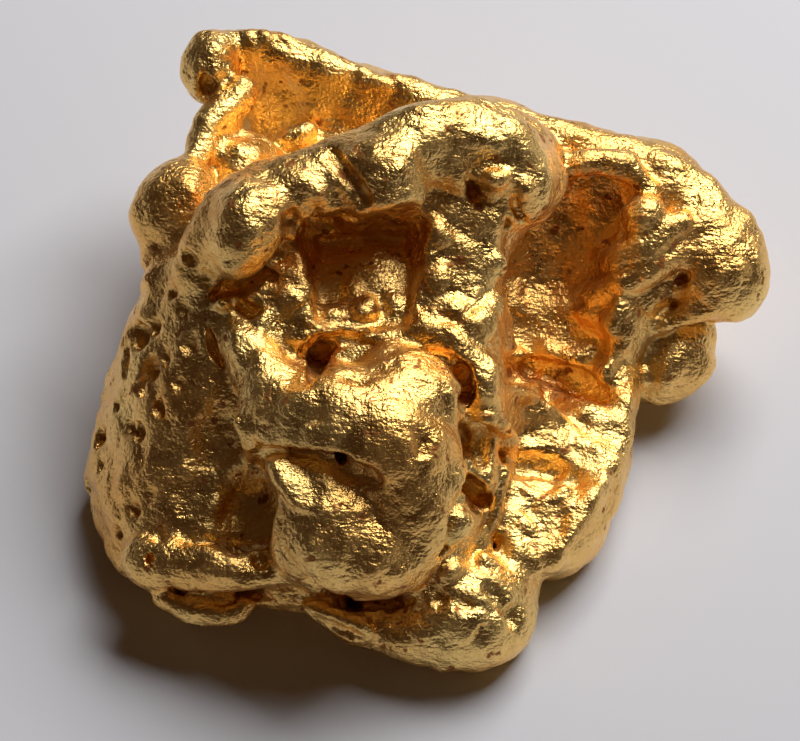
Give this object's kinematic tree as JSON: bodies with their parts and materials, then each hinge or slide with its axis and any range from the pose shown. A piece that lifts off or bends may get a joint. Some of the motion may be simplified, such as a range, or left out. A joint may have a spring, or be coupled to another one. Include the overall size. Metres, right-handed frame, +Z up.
{
  "type": "gold nugget",
  "caption": "Rough natural lump of native gold with a folded front lobe, a square pit, a deep side hollow and worn feet that it lies on.",
  "frame": {"origin": "on the ground under the middle of the nugget's bounding box", "axes": "+X to the right along the back slab towards the knob, +Y away from the folded face, +Z up from the worn feet"},
  "size_m": [0.0178, 0.0168, 0.0098],
  "materials": {
    "native_gold": "natural, grainy and shiny"
  },
  "bodies": {
    "root": {"gold_nugget": "native_gold"}
  },
  "joints": []
}
